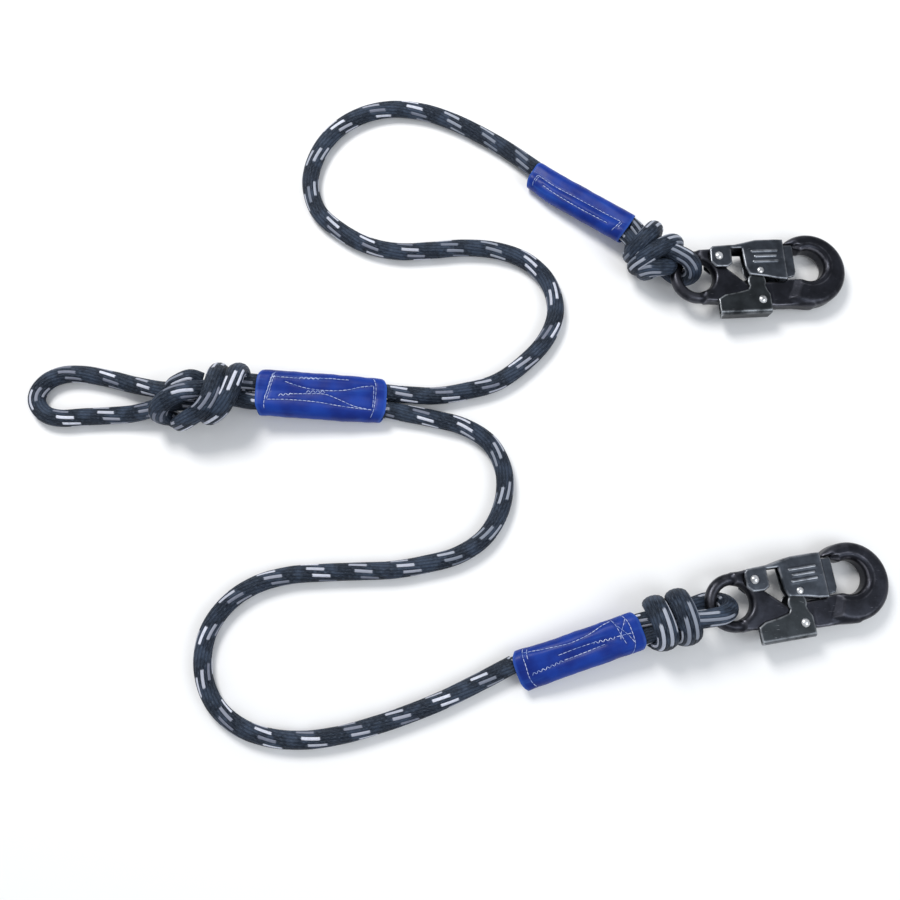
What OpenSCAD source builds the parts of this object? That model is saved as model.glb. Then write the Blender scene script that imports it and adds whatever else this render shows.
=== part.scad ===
// Twin-leg rope lanyard: a knotted waist loop, two free legs of rope, three stitched
// sleeves and two double-action snap hooks. It lies on the plane z = 0.
// Millimetres, +X towards the hooks, +Z up, origin at the centre of its footprint.

/* [Rope] */
// Diameter of the kernmantle rope
rope_d = 13; // [12.5:0.1:13]
// Outer radius of the knots at the two hooks
hook_knot_r = 21; // [20:0.5:22]
// Outer radius of the knot at the waist loop
waist_knot_r = 23; // [22:0.5:24]
// Distance from one wrap of a knot to the next
wrap_pitch = 12.3; // [11.8:0.1:12.6]

/* [Sleeves] */
// Thickness of the vinyl sleeve wall
sleeve_wall = 1.3; // [1:0.1:1.5]
// Slope of a sleeve up to its knot, in degrees
sleeve_slope = 6.3; // [5:0.1:7]
// Width of a stitched line
stitch_w = 0.9; // [0.6:0.1:1.2]
// Height of a stitched line above the sleeve
stitch_h = 0.5; // [0.3:0.1:0.8]

/* [Hook body] */
// Height of the rope ring's centre above the floor
ring_z = 19.5; // [19:0.1:20]
// Radius of the hole for the rope
ring_hole_r = 12.5; // [12:0.1:13]
// Thickness of the ring's round bar
ring_bar_d = 8.5; // [8:0.1:8.6]
// Thickness of the plate that the gate and the lever straddle
plate_t = 10; // [9:0.5:10]
// Thickness of the bow
bow_t = 16; // [14:0.5:17]
// Outer radius of the bow
bow_r = 28.5; // [27.5:0.1:29]
// Radius of the seat inside the bow
seat_r = 11.5; // [11:0.1:12]

/* [Gate and lever] */
// Thickness of the folded steel sheet
sheet_t = 1.5; // [1.2:0.1:1.6]
// Radius of both hinge pins
pin_r = 2; // [1.8:0.1:2.2]
// Running clearance round a hinge pin
pin_play = 0.05; // [0.03:0.01:0.08]
// Radius of the rivet heads
head_r = 3.2; // [3:0.1:3.4]
// Thickness of the spring wire
wire_d = 1.2; // [1:0.1:1.4]

/* [Hidden] */
$fn = 64;

rope_r = rope_d / 2;
strand_gap = 0.2;
strand_y = rope_r + strand_gap / 2;
sleeve_h = rope_d + 2 * strand_gap + 2 * sleeve_wall;
rope_sides = 10;
knot_wraps = 3;
waist_wraps = 6;

// Index of each sleeve's values: fork, hook a, hook b. A sleeve starts at its mouth
// towards the legs and runs up towards its knot.
FORK = 0;
A = 1;
B = 2;
sleeve_len = [97, 89, 94];
sleeve_extra_w = [4.5, 0, 1.5];
sleeve_xy = [[-48.5, 8.7], [64.6, 193.2], [47.4, -191.3]];
sleeve_heading = [177.3, -34.5, 19];
sleeve_z = sleeve_h / 2;

// The rings' centres, the hooks' headings and the directions of the ropes that hold them
ring_xy = [[0, 0], [188.3, 103.4], [201.3, -142.6]];
hook_heading = [0, 4.5, 9.5];
rope_heading = [0, -32, 15];
knot_gap = [0, 4.8, 8.5];
eye_bend_r = 12;
eye_side = [0, 2.5, -6];
waist_knot_xy = [-187.5, 9.5];
waist_knot_heading = 3;

// Routes of the free rope on the floor
leg_a_route = [
    [-48.2, 15.3, 8], [-30, 14, 6.6], [-10, 13.5, 6.5], [11, 17, 6.5], [35, 24, 6.5],
    [56, 39, 6.5], [73, 58, 6.5], [81, 80, 6.5], [76, 104, 6.5], [59, 122, 6.5],
    [35, 131, 6.5], [10, 133, 6.5], [-15, 131, 6.5], [-40, 130, 6.5], [-64, 135, 6.5],
    [-86, 147, 6.5], [-104, 164, 6.5], [-111, 188, 6.5], [-106, 212, 6.5],
    [-92, 233, 6.5], [-71, 247, 6.5], [-47, 252.5, 6.5], [-22, 250, 6.5],
    [1, 242, 6.5], [24, 230, 6.5], [44, 216, 6.6], [68, 198.8, 8]
];
leg_b_route = [
    [-48.2, 2.1, 8], [-30, -1, 6.6], [-10, -5, 6.5], [11, -11, 6.5], [30, -24, 6.5],
    [40, -46, 6.5], [38, -71, 6.5], [26, -93, 6.5], [6, -107, 6.5], [-19, -114, 6.5],
    [-43, -118, 6.5], [-68, -119, 6.5], [-93, -120, 6.5], [-118, -122, 6.5],
    [-142, -129, 6.5], [-162, -143, 6.5], [-175, -164, 6.5], [-177, -189, 6.5],
    [-168, -212, 6.5], [-150, -228, 6.5], [-127, -236, 6.5], [-102, -237.5, 6.5],
    [-77, -234, 6.5], [-53, -227.5, 6.5], [-29, -219.5, 6.5], [-5, -210, 6.5],
    [20, -198, 6.6], [45, -185.2, 8]
];
waist_loop_route = [
    [-219, 15.5, 18.5], [-238, 21, 9], [-256, 26, 6.7], [-276, 30, 6.5], [-293, 30, 6.5],
    [-305, 25, 6.5], [-312, 16, 6.5], [-312, 7, 6.5], [-305, -1, 6.5], [-293, -4, 6.5],
    [-276, -3, 6.5], [-256, -2, 6.7], [-238, -1, 9], [-219, 1, 18.5]
];

// Hook layout, seen along -Z with the ring's centre at the origin and the bow along +X
ring_r = ring_hole_r + ring_bar_d / 2;
gate_pin_xy = [16, 13.5];
lever_pin_xy = [46.5, -22];
lever_head_xy = [44, -7.5];
bow_xy = [88, 1];
seat_xy = [87.5, 4.5];
swing_r = 60.9;
layer_gap = 0.4;
lever_z = plate_t / 2 + layer_gap;
gate_z = lever_z + sheet_t + layer_gap;
gate_out = gate_z + sheet_t;
spring_pocket_r = 6;
spring_pocket_t = 4.2;
bow_edge = 2.5;
bow_foot = bow_xy.x + bow_r - bow_edge;
foot_reach = norm([bow_foot, bow_t / 2]);
hook_tilt = asin(ring_z / foot_reach) - atan(bow_t / 2 / bow_foot);

function unit(v) = v / norm(v);
function heading(angle) = [cos(angle), sin(angle)];

// Direction of a route at point i, from its neighbours
function along(route, i) = let (last = len(route) - 1)
    unit(route[min(i + 1, last)] - route[max(i - 1, 0)]);

// One ring of points round the route at point i; side is never along the route
function ring_points(route, i, r, sides, side) = let (
        t = along(route, i),
        u = unit(cross(side, t)),
        v = cross(t, u)
    )
    [for (k = [0:sides - 1]) route[i]
        + r * cos(360 * k / sides) * u + r * sin(360 * k / sides) * v];

// A round tube along a route
module tube(route, r, sides, side = [0, 0, 1]) {
    rings = len(route);
    points = [for (i = [0:rings - 1]) each ring_points(route, i, r, sides, side)];
    walls = [for (i = [0:rings - 2], k = [0:sides - 1]) let (n = (k + 1) % sides)
        each [
            [i * sides + k, (i + 1) * sides + n, i * sides + n],
            [i * sides + k, (i + 1) * sides + k, (i + 1) * sides + n]
        ]];
    start = [[for (k = [0:sides - 1]) k]];
    finish = [[for (k = [sides - 1:-1:0]) (rings - 1) * sides + k]];
    polyhedron(points, concat(walls, start, finish), convexity = 6);
}

module at_sleeve(which) {
    translate([sleeve_xy[which].x, sleeve_xy[which].y, sleeve_z])
        rotate([0, -sleeve_slope, sleeve_heading[which]])
            children();
}

module at_hook(which) {
    translate([ring_xy[which].x, ring_xy[which].y, ring_z])
        rotate([0, hook_tilt, hook_heading[which]])
            children();
}

// Frame of a knot: origin in its middle, +X towards its hook or its sleeve
module at_hook_knot(which) {
    far = ring_r + knot_gap[which] + knot_wraps * wrap_pitch / 2;
    middle = ring_xy[which] - far * heading(rope_heading[which]);
    translate([middle.x, middle.y, hook_knot_r])
        rotate([0, 0, rope_heading[which]])
            children();
}

// Frame of the rope round a ring: origin in the middle of the ring's bar
module at_eye(which) {
    at_hook(which)
        rotate([0, 0, rope_heading[which] - hook_heading[which]])
            translate([-ring_r, 0, 0])
                children();
}

// Solid stand-in for a knot: wraps of rope side by side round its core, along X
module wrapped_knot(r, wraps) {
    core_r = r - rope_r;
    length = wraps * wrap_pitch;
    rotate([0, 90, 0])
        translate([0, 0, -length / 2])
            rotate_extrude() {
                translate([0, rope_r / 2])
                    square([core_r, length - rope_r]);
                for (i = [0:wraps - 1])
                    translate([core_r, (i + 0.5) * wrap_pitch])
                        intersection() {
                            circle(r = rope_r);
                            square([4 * rope_r, wrap_pitch], center = true);
                        }
            }
}

module strand(length, y) {
    translate([0, y, 0])
        rotate([0, 90, 0])
            cylinder(r = rope_r, h = length);
}

module hook_knot(which) {
    at_hook_knot(which)
        wrapped_knot(hook_knot_r, knot_wraps);
}

module waist_knot() {
    translate([waist_knot_xy.x, waist_knot_xy.y, waist_knot_r])
        rotate([0, 0, waist_knot_heading])
            wrapped_knot(waist_knot_r, waist_wraps);
}

// The rope that passes over the ring's bar, through the ring and back under the bar
module eye_rope(which) {
    reach = knot_gap[which] + 4.6;
    bend = [for (a = [90:-15:-90])
        [eye_bend_r * cos(a), eye_side[which] * sin(a), eye_bend_r * sin(a)]];
    route = concat([[-reach, eye_side[which], eye_bend_r]], bend,
        [[-reach, -eye_side[which], -eye_bend_r]]);
    at_eye(which)
        tube(route, rope_r, rope_sides, side = [0, 1, 0]);
}

// Outline of a sleeve's inside: the two strands and the space between them
module strand_pair(extra_w, grow) {
    r = rope_r + strand_gap + grow;
    y = strand_y + extra_w / 2;
    for (s = [-1, 1])
        translate([0, s * y])
            circle(r = r);
    square([2 * r, 2 * y], center = true);
}

module sleeve(which) {
    at_sleeve(which)
        rotate([0, 90, 0])
            linear_extrude(sleeve_len[which])
                difference() {
                    strand_pair(sleeve_extra_w[which], sleeve_wall);
                    strand_pair(sleeve_extra_w[which], 0);
                }
}

// A stitched line on top of a sleeve from one point to another
module stitched_line(from, to) {
    run = to - from;
    translate([from.x, from.y, sleeve_h / 2])
        rotate([0, 0, atan2(run.y, run.x)])
            translate([0, -stitch_w / 2, 0])
                cube([norm(run), stitch_w, stitch_h]);
}

// Stitching: a line across each end, two along the sleeve and a cross between them
module stitching(which) {
    x0 = 10;
    x1 = sleeve_len[which] - 10;
    y = strand_y + sleeve_extra_w[which] / 2 - 1;
    at_sleeve(which) {
        for (x = [x0, x1])
            stitched_line([x, -y], [x, y]);
        for (s = [-1, 1]) {
            stitched_line([x0, s * y], [x1, s * y]);
            stitched_line([x0, s * y], [x1, -s * y]);
        }
    }
}

module fork_strands() {
    at_sleeve(FORK)
        for (s = [-1, 1])
            strand(sleeve_len[FORK] + 9, s * strand_y);
}

// The leg's rope on its way through the sleeve into the knot
module standing_strand(which) {
    at_sleeve(which)
        strand(sleeve_len[which] + 10, strand_y);
}

// The rope's tail, which ends inside the sleeve
module tail_strand(which) {
    tail_start = 20;
    at_sleeve(which)
        translate([tail_start, 0, 0])
            strand(sleeve_len[which] + 10 - tail_start, -strand_y);
}

// Pin hole through everything
module pin_hole(xy, r) {
    translate([xy.x, xy.y, -bow_t])
        cylinder(r = r, h = 2 * bow_t);
}

// Outline of the bow and the nose, shrunk by edge
module bow_outline(edge) {
    intersection() {
        translate(bow_xy)
            circle(r = bow_r - edge);
        translate([69.5 + edge, -60])
            square([120, 120]);
    }
}

// What is cut from the bow: the seat, and the way of the gate up to the nose
module bow_mouth(reach) {
    translate(seat_xy)
        circle(r = seat_r);
    polygon([[60, 21.2], [76.4, 21.2], [77, 19], [84, 15.5], [84, 0], [60, 0]]);
    intersection() {
        translate(gate_pin_xy)
            circle(r = reach);
        translate([0, -80])
            square([150, 101.2]);
    }
}

module plate_outline() {
    polygon([
        [3, 20.7], [14, 21.5], [22, 19], [23.8, 12.5], [23, 5], [42, -12.5], [48, -7.2],
        [seat_xy.x, -7], [seat_xy.x, -27.5], [58, -27.2], [40, -25], [16, -21.8], [3, -20.7]
    ]);
}

module hook_body(which) {
    at_hook(which)
        difference() {
            union() {
                rotate_extrude()
                    translate([ring_r, 0])
                        circle(d = ring_bar_d);
                translate([0, 0, -plate_t / 2])
                    linear_extrude(plate_t)
                        difference() {
                            union() {
                                plate_outline();
                                difference() {
                                    bow_outline(0);
                                    polygon([[60, 21.2], [76.4, 21.2], [77, 19],
                                        [84, 15.5], [84, -7], [60, -7]]);
                                }
                            }
                            translate(seat_xy)
                                circle(r = seat_r);
                            circle(r = ring_hole_r);
                        }
                for (layer = [[bow_t / 2 - 1.2, 0.9], [bow_t / 2, bow_edge]])
                    translate([0, 0, -layer[0]])
                        linear_extrude(2 * layer[0])
                            difference() {
                                bow_outline(layer[1]);
                                bow_mouth(swing_r + layer[1]);
                            }
            }
            pin_hole(gate_pin_xy, pin_r);
            pin_hole(lever_pin_xy, pin_r);
            for (xy = [gate_pin_xy, lever_pin_xy])
                translate([xy.x, xy.y, plate_t / 2 - spring_pocket_t])
                    cylinder(r = spring_pocket_r, h = spring_pocket_t + 1);
        }
}

// Outline of one flange of the gate with its hinge ear, its back edge moved by cut
module gate_outline(cut) {
    polygon([
        [9, 9], [9.6, 19.5], [12, 21.8], [27.5, 22.3], [26.3, 18.8], [26.2, 7], [22, 4.5],
        [13, 4.8]
    ]);
    polygon([
        [16, 19.5], [16, 22], [30, 22.4], [46, 25.6], [62, 25.6], [68.3, 25.2],
        [68.3, -7.5], [60, -6.5], [52, -4.6], [38 + cut, -2.4], [35.6 + cut, 4],
        [34.8 + cut, 19]
    ]);
}

// A pair of equal plates on both sides of the hook, from one height to another
module both_sides(low, high) {
    for (s = [0, 1])
        mirror([0, 0, s])
            translate([0, 0, low])
                linear_extrude(high - low)
                    children();
}

// Gate: a folded channel with its web along the top and its end inside the nose
module gate(which) {
    under_flange_cut = 4.7;
    at_hook(which)
        difference() {
            union() {
                for (s = [0, 1])
                    mirror([0, 0, s])
                        translate([0, 0, gate_z])
                            linear_extrude(sheet_t)
                                gate_outline(s * under_flange_cut);
                translate([0, 0, -gate_out])
                    linear_extrude(2 * gate_out)
                        polygon([[27, 20.9], [27, 22.33], [30, 22.4], [46, 25.6],
                            [62, 25.6], [68.3, 25.2], [68.3, 23.7], [46, 24.1]]);
                both_sides(lever_z, gate_z + 0.2)
                    polygon([[66.3, 20.5], [75.5, 20.5], [75.5, -1], [73.8, -4.6], [66.3, -6]]);
                translate([0, 0, -gate_z])
                    linear_extrude(2 * gate_z)
                        polygon([[66.8, 14], [75.5, 14], [75.5, 20.5], [66.8, 20.5]]);
            }
            pin_hole(gate_pin_xy, pin_r + pin_play);
        }
}

// Outline of the lever's two flanges, with the round head that props the gate
module lever_outline() {
    polygon([
        [12, -20], [17.6, -16.8], [28.4, -15.2], [36.8, -12.4], [37.6, -9], [50.6, -9],
        [51.5, -14], [53.5, -18], [53.5, -32.6], [14, -32.6], [12, -30.5]
    ]);
    translate(lever_head_xy)
        circle(r = 7.2);
}

// Lock lever: a folded channel over the back of the hook
module lock_lever(which) {
    at_hook(which)
        difference() {
            union() {
                both_sides(lever_z, lever_z + sheet_t)
                    lever_outline();
                translate([14, -32.6, -lever_z - sheet_t])
                    cube([39.5, sheet_t, 2 * (lever_z + sheet_t)]);
            }
            pin_hole(lever_pin_xy, pin_r + pin_play);
        }
}

// Hinge pin with a domed head on both sides, outside a channel that reaches out
module hinge_pin(which, xy, out) {
    dome_h = 1.6;
    dome_r = (head_r * head_r + dome_h * dome_h) / (2 * dome_h);
    seat = out + 0.25;
    at_hook(which)
        translate([xy.x, xy.y, 0]) {
            cylinder(r = pin_r, h = 2 * seat + 0.2, center = true);
            for (s = [0, 1])
                mirror([0, 0, s])
                    intersection() {
                        translate([0, 0, seat + dome_h - dome_r])
                            sphere(r = dome_r);
                        translate([0, 0, seat])
                            cylinder(r = head_r + 1, h = dome_h + 1);
                    }
        }
}

// Torsion spring round a hinge pin, in the pocket of the hook body
module torsion_spring(which, xy) {
    turns = 2;
    coil_r = 3.7;
    steps = 14;
    rise = wire_d * 1.15;
    low = plate_t / 2 - spring_pocket_t + wire_d / 2 + 0.15;
    coil = [for (i = [0:turns * steps]) let (a = 360 * i / steps)
        [coil_r * cos(a), coil_r * sin(a), low + rise * i / steps]];
    at_hook(which)
        translate([xy.x, xy.y, 0])
            tube(coil, wire_d / 2, 8);
}

color("#3a4656") tube(waist_loop_route, rope_r, rope_sides);  // waist_loop
color("#3a4656") waist_knot();
color("#3a4656") tube(leg_a_route, rope_r, rope_sides);  // leg_rope_a
color("#3a4656") tube(leg_b_route, rope_r, rope_sides);  // leg_rope_b
color("#3a4656") fork_strands();
color("#3a4656") standing_strand(A);  // standing_strand_a
color("#3a4656") standing_strand(B);  // standing_strand_b
color("#566273") tail_strand(A);  // tail_strand_a
color("#566273") tail_strand(B);  // tail_strand_b
color("#3a4656") hook_knot(A);  // hook_knot_a
color("#3a4656") hook_knot(B);  // hook_knot_b
color("#3a4656") eye_rope(A);  // eye_rope_a
color("#3a4656") eye_rope(B);  // eye_rope_b
color("#1b3f9c") sleeve(FORK);  // sleeve_centre
color("#1b3f9c") sleeve(A);  // sleeve_a
color("#1b3f9c") sleeve(B);  // sleeve_b
color("#d8dde6") stitching(FORK);  // stitching_centre
color("#d8dde6") stitching(A);  // stitching_a
color("#d8dde6") stitching(B);  // stitching_b
color("#3b3d42") hook_body(A);  // hook_body_a
color("#3b3d42") hook_body(B);  // hook_body_b
color("#4b4f55") gate(A);  // gate_a
color("#4b4f55") gate(B);  // gate_b
color("#b9bcc0") hinge_pin(A, gate_pin_xy, gate_out);  // gate_pin_a
color("#b9bcc0") hinge_pin(B, gate_pin_xy, gate_out);  // gate_pin_b
color("#9a9da1") torsion_spring(A, gate_pin_xy);  // gate_spring_a
color("#9a9da1") torsion_spring(B, gate_pin_xy);  // gate_spring_b
color("#55585e") lock_lever(A);  // lock_lever_a
color("#55585e") lock_lever(B);  // lock_lever_b
color("#b9bcc0") hinge_pin(A, lever_pin_xy, lever_z + sheet_t);  // lever_pin_a
color("#b9bcc0") hinge_pin(B, lever_pin_xy, lever_z + sheet_t);  // lever_pin_b
color("#9a9da1") torsion_spring(A, lever_pin_xy);  // lever_spring_a
color("#9a9da1") torsion_spring(B, lever_pin_xy);  // lever_spring_b
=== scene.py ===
"""Looks of a twin-leg rope lanyard: braided rope, stitched sleeves, tied knots and snap hooks.

The CAD model is the frame. Ropes, knots, sleeves and hook parts are built here in metres
around it, in the CAD's own places, and ride on its bodies.
"""
import math
from dataclasses import dataclass

import bpy
import numpy as np
from mathutils import Matrix, Vector


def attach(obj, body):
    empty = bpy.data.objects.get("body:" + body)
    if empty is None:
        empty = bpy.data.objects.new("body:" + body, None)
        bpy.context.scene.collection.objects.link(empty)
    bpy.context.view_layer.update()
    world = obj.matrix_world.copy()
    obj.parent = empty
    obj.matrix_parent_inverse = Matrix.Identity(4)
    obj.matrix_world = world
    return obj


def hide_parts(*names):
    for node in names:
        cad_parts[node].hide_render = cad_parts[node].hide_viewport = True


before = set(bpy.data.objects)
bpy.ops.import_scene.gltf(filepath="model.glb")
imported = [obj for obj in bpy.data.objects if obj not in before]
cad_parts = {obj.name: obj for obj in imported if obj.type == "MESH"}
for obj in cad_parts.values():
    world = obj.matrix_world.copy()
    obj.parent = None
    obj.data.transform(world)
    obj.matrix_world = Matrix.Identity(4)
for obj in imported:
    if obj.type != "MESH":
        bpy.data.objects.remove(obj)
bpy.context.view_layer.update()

MM = 0.001
ROPE_R = 6.5 * MM


def add_object(name, data):
    made = bpy.data.objects.new(name, data)
    bpy.context.scene.collection.objects.link(made)
    return made


def add_piece(name, mesh, body, node=None):
    """A piece that rides a body and, where node is given, replaces that CAD node."""
    made = add_object(name, mesh)
    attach(made, body)
    if node:
        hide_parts(node)
    return made


def add_modifier(owner, name, kind, **settings):
    made = owner.modifiers.new(name, kind)
    for key, value in settings.items():
        setattr(made, key, value)


def write_uv(mesh, name, uv):
    mesh.uv_layers.new(name=name).data.foreach_set("uv", uv.ravel())


def write_attribute(mesh, name, values):
    attribute = mesh.attributes.new(name, "FLOAT", "POINT")
    attribute.data.foreach_set("value", values.ravel().astype(np.float32))


# ---- camera, floor, light

VIEW_ELEVATION = math.radians(78)
VIEW_DISTANCE = 0.755
VIEW_TARGET = Vector((-0.0003, -0.0271, 0))


def make_camera():
    data = bpy.data.cameras.new("camera")
    data.lens = 40
    data.sensor_width = 36
    camera = add_object("camera", data)
    back = Vector((0, -math.cos(VIEW_ELEVATION), math.sin(VIEW_ELEVATION)))
    camera.location = VIEW_TARGET + VIEW_DISTANCE * back
    camera.rotation_euler = (math.pi / 2 - VIEW_ELEVATION, 0, 0)
    bpy.context.scene.camera = camera


def area_light(name, place, size, power, colour):
    data = bpy.data.lights.new(name, "AREA")
    data.shape = "DISK"
    data.size = size
    data.energy = power
    data.color = colour
    light = add_object(name, data)
    light.location = place
    light.rotation_euler = (-Vector(place)).to_track_quat("-Z", "Y").to_euler()


def make_stage():
    """A plain pale floor under soft studio light."""
    mesh = bpy.data.meshes.new("floor")
    half = 6.0
    corners = [(-half, -half, 0), (half, -half, 0), (half, half, 0), (-half, half, 0)]
    mesh.from_pydata(corners, [], [(0, 1, 2, 3)])
    floor = add_object("floor", mesh)
    g = Graph("floor_paper")
    g.shader(base=(0.86, 0.865, 0.875), roughness=0.85)
    mesh.materials.append(g.material)
    world = bpy.data.worlds.new("studio")
    world.use_nodes = True
    background = world.node_tree.nodes["Background"]
    background.inputs["Color"].default_value = (0.93, 0.96, 1, 1)
    background.inputs["Strength"].default_value = 0.62
    bpy.context.scene.world = world
    area_light("key", (-0.5, 0.75, 1.25), 0.55, 17, (1, 0.98, 0.95))
    area_light("fill", (0.9, -0.5, 1.1), 0.8, 6, (0.92, 0.96, 1))
    bpy.context.scene.view_settings.view_transform = "Standard"


# ---- material graphs

class Graph:
    """A small builder of shader nodes for one material."""

    def __init__(self, name):
        self.material = bpy.data.materials.new(name)
        self.material.use_nodes = True
        self.tree = self.material.node_tree
        self.tree.nodes.clear()

    def node(self, kind, settings=None, **links):
        made = self.tree.nodes.new("ShaderNode" + kind)
        for key, value in (settings or {}).items():
            setattr(made, key, value)
        for key, value in links.items():
            self.put(made.inputs[key.replace("_", " ")], value)
        return made

    def put(self, socket, value):
        if isinstance(value, bpy.types.NodeSocket):
            self.tree.links.new(value, socket)
        elif isinstance(value, tuple) and len(value) == 3 and socket.type == "RGBA":
            socket.default_value = (*value, 1)
        else:
            socket.default_value = value

    def math(self, operation, a, b=0.0, c=0.0):
        made = self.node("Math", {"operation": operation})
        for socket, value in zip(made.inputs, (a, b, c)):
            self.put(socket, value)
        return made.outputs[0]

    def times(self, a, b):
        return self.math("MULTIPLY", a, b)

    def times_plus(self, a, b, c):
        return self.math("MULTIPLY_ADD", a, b, c)

    def one_minus(self, value):
        return self.math("SUBTRACT", 1.0, value)

    def vector(self, x, y, z=0.0):
        return self.node("CombineXYZ", X=x, Y=y, Z=z).outputs[0]

    def noise(self, vector, scale, detail=3.0, roughness=0.5):
        return self.node("TexNoise", Vector=vector, Scale=scale, Detail=detail,
                         Roughness=roughness).outputs["Fac"]

    def ramp(self, value, low, high, out_low=0.0, out_high=1.0):
        made = self.node("MapRange", {"interpolation_type": "SMOOTHSTEP"}, Value=value,
                         From_Min=low, From_Max=high, To_Min=out_low, To_Max=out_high)
        return made.outputs[0]

    def hump(self, value, foot, top):
        """1 in the middle of the run from 0 to 1, falling from top to foot at each side."""
        return self.times(self.ramp(value, foot, top),
                          self.ramp(value, 1 - top, 1 - foot, 1, 0))

    def mix(self, factor, a, b):
        made = self.node("Mix", {"data_type": "RGBA"})
        self.put(made.inputs["Factor"], factor)
        self.put(made.inputs[6], a)
        self.put(made.inputs[7], b)
        return made.outputs[2]

    def place(self):
        return self.node("TexCoord").outputs["Object"]

    def stretched(self, at, scale, rotation=(0, 0, 0)):
        return self.node("Mapping", Vector=at, Scale=scale, Rotation=rotation).outputs[0]

    def uv(self, layer):
        at = self.node("UVMap", {"uv_map": layer}).outputs["UV"]
        parts = self.node("SeparateXYZ", Vector=at)
        return parts.outputs["X"], parts.outputs["Y"]

    def attribute(self, name):
        return self.node("Attribute", {"attribute_name": name}).outputs["Fac"]

    def bump(self, height, strength, distance, below=None):
        made = self.node("Bump", Height=height, Strength=strength, Distance=distance)
        if below is not None:
            self.put(made.inputs["Normal"], below)
        return made.outputs["Normal"]

    def shader(self, base, roughness, metallic=0.0, normal=None, **extra):
        made = self.node("BsdfPrincipled", Base_Color=base, Roughness=roughness,
                         Metallic=metallic, **extra)
        if normal is not None:
            self.put(made.inputs["Normal"], normal)
        self.node("OutputMaterial", Surface=made.outputs[0])


# The rope's sheath: rows of floats along the rope. UV x counts pattern lengths along the
# rope and UV y counts turns round it.
SHEATH_ROWS = 16
PATTERN = 35 * MM
FLOATS = 2
ROW_STEP = -1 / 8


def rope_material():
    g = Graph("braided_rope")
    along, around = g.uv("rope")
    rows = g.times(around, SHEATH_ROWS)
    row = g.math("FLOOR", rows)
    across = g.math("FRACT", rows)
    floats = g.times_plus(along, FLOATS, g.times(row, ROW_STEP))
    cell = g.math("FLOOR", floats)
    run = g.math("FRACT", floats)
    wobble = g.noise(g.vector(along, rows), 3.0, 2.0)
    run = g.math("ADD", run, g.times_plus(wobble, 0.1, -0.05))
    # pale dashes: every second float of every second row
    even_row = g.math("COMPARE", g.math("MODULO", row, 2.0), 0.0, 0.25)
    even_cell = g.math("COMPARE", g.math("FLOORED_MODULO", cell, 2.0), 0.0, 0.25)
    dash = g.times(g.hump(run, 0.1, 0.16), g.hump(across, 0.0, 0.1))
    marked = g.times(g.times(even_row, even_cell), dash)
    chance = g.node("TexWhiteNoise", {"noise_dimensions": "3D"}, Vector=g.vector(cell, row))
    # yarns run nearly along the rope, each a fine ridge, and slant with the braid
    yarn_at = g.times_plus(along, 9.0, g.times(rows, 4.0))
    yarn = g.times(g.math("PINGPONG", yarn_at, 0.5), 2.0)
    fibre = g.noise(g.vector(g.times(along, 14.0), g.times(rows, 9.0), row), 1.0, 4.0, 0.65)
    bulge = g.hump(across, 0.0, 0.35)
    float_end = g.hump(run, 0.0, 0.1)
    worn = g.noise(g.place(), 75.0, 4.0)
    dark = g.mix(g.ramp(worn, 0.42, 0.64), (0.003, 0.007, 0.016), (0.028, 0.043, 0.074))
    dark = g.mix(g.ramp(fibre, 0.42, 0.72, 0.0, 0.8), dark, (0.09, 0.115, 0.155))
    # painted shade: the rope is darkened in the grooves between its rows and where each float
    # dips under, as if shaded there
    dark = g.mix(g.times(g.one_minus(bulge), 0.45), dark, (0.003, 0.004, 0.008))
    dark = g.mix(g.times(g.one_minus(float_end), 0.3), dark, (0.003, 0.005, 0.009))
    pale = g.mix(g.ramp(chance.outputs["Value"], 0.1, 0.85), (0.15, 0.165, 0.22),
                 (0.78, 0.81, 0.93))
    # painted shade: the pale dashes are darkened in the troughs between their yarns
    pale = g.mix(g.times(g.one_minus(yarn), 0.3), pale, (0.1, 0.11, 0.15))
    pale = g.mix(g.ramp(fibre, 0.45, 0.7, 0.0, 0.8), pale, (0.26, 0.28, 0.34))
    scuffed = g.noise(g.place(), 6.0, 1.0)
    pale = g.mix(g.ramp(scuffed, 0.47, 0.6, 0.0, 0.6), pale, (0.16, 0.19, 0.24))
    base = g.mix(g.times(marked, g.ramp(fibre, 0.2, 0.42, 0.7, 1.0)), dark, pale)
    height = g.times_plus(yarn, 0.35, g.times(bulge, 0.9))
    height = g.times_plus(fibre, 0.3, height)
    height = g.times_plus(float_end, 0.4, height)
    g.shader(base, g.ramp(fibre, 0.3, 0.7, 0.46, 0.6), normal=g.bump(height, 0.6, 0.0005),
             Sheen_Weight=0.02, Sheen_Roughness=0.4, Specular_IOR_Level=0.12)
    return g.material


# The vinyl's fine weave: how far a wave of it turns in a metre
WEAVE_TURN = 5200.0


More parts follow.
